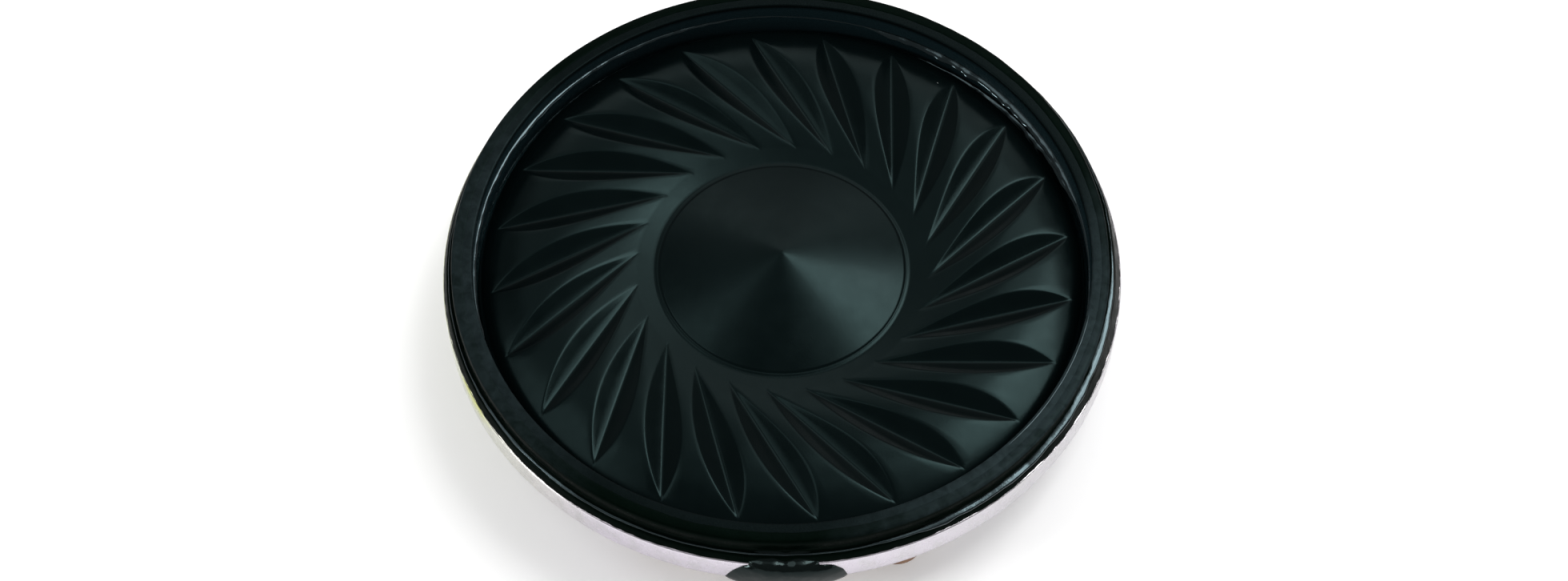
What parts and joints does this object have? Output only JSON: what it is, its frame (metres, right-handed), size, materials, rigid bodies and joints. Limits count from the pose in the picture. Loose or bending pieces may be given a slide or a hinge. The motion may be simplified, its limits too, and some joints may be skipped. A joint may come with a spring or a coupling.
{
  "type": "miniature loudspeaker",
  "caption": "Flat round moving-coil loudspeaker with a grooved black film diaphragm, a black front ring in a plated steel rim, and a rear magnet pot and terminal board.",
  "frame": {"origin": "centre of the magnet pot's flat rear face", "axes": "+Z out of the front of the speaker along its axis; the solder terminals are on the -Y side"},
  "size_m": [0.028, 0.0284, 0.0048],
  "materials": {
    "plated_steel": "bright nickel plating with a faint warm and lilac tint",
    "pot_steel": "satin nickel plating",
    "magnet": "nickel plated",
    "copper_wire": "enamelled copper",
    "clear_glue": "clear yellowish glue",
    "film": "black satin moulded film",
    "ring": "dark grey satin with fine grain",
    "black_adhesive": "glossy black, uneven",
    "board": "brown phenolic laminate",
    "eyelet": "bright brass",
    "pad_copper": "tinned copper",
    "solder": "bright solder",
    "cloth": "black non-woven cloth"
  },
  "bodies": {
    "chassis": {"frame": "plated_steel", "yoke_pot": "pot_steel", "magnet": "magnet", "pole_plate": "pot_steel", "diaphragm_surround": "film", "front_ring": "ring", "ring_adhesive": "black_adhesive", "lead_adhesive": "black_adhesive", "terminal_board": "board", "board_eyelet": "eyelet", "pad_plus": "pad_copper", "pad_minus": "pad_copper", "solder_plus": "solder", "solder_minus": "solder", "coil_lead_plus": "copper_wire", "coil_lead_minus": "copper_wire", "rim_lead_plus": "copper_wire", "rim_lead_minus": "copper_wire", "vent_cloth": "cloth"},
    "cone_and_coil": {"diaphragm_dome": "film", "voice_coil": "copper_wire", "coil_adhesive": "clear_glue"}
  },
  "joints": [
    {"name": "coil_travel", "type": "slide", "parent": "chassis", "child": "cone_and_coil", "axis": [0, 0, 1], "range_m": [-0.0002, 0.0002], "stiffness_N_per_m": 1000, "deforming": ["diaphragm_surround", "coil_lead_plus", "coil_lead_minus"]}
  ]
}
